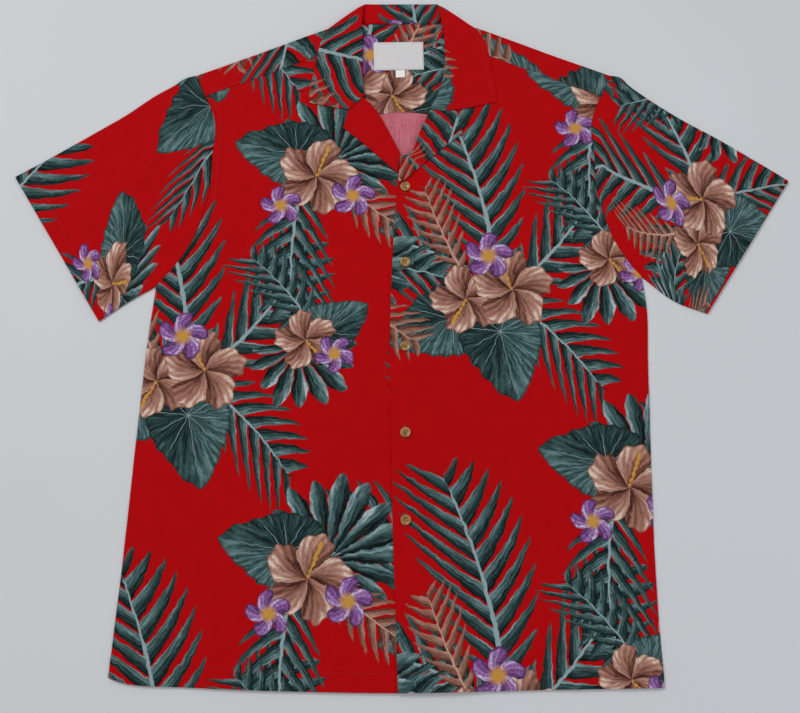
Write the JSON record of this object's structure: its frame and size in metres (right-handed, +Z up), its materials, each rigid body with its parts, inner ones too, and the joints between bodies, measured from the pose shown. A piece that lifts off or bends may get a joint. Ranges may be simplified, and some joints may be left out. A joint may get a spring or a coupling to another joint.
{
  "type": "hawaiian shirt",
  "caption": "Short-sleeved hawaiian shirt with a turned-out camp collar and straight hem, buttoned and laid flat on its back on a surface.",
  "frame": {"origin": "on the surface the shirt lies on, under the middle of its outline", "axes": "+X across the chest to the wearer's left, +Y from the hem to the collar, +Z up from the surface, out of the front"},
  "size_m": [0.89, 0.796, 0.0096],
  "materials": {
    "shirt_cloth": "matt plain weave with an all-over leaf and flower print, paler pink on the wrong side",
    "label_tape": "bare cream woven tape with a soft satin sheen",
    "size_tape": "bare white woven tape",
    "amber_button": "translucent amber brown, polished, with a dished middle"
  },
  "bodies": {
    "root": {"back_body": "shirt_cloth", "yoke_outer": "shirt_cloth", "yoke_lining": "shirt_cloth", "front_under": "shirt_cloth", "front_upper": "shirt_cloth", "sleeve_left": "shirt_cloth", "sleeve_right": "shirt_cloth", "lapel_left": "shirt_cloth", "lapel_right": "shirt_cloth", "collar_back": "shirt_cloth", "collar_leaf_left": "shirt_cloth", "collar_leaf_right": "shirt_cloth", "neck_label": "label_tape", "size_tab": "size_tape", "button_1": "amber_button", "button_2": "amber_button", "button_3": "amber_button", "button_4": "amber_button", "button_5": "amber_button"}
  },
  "joints": []
}
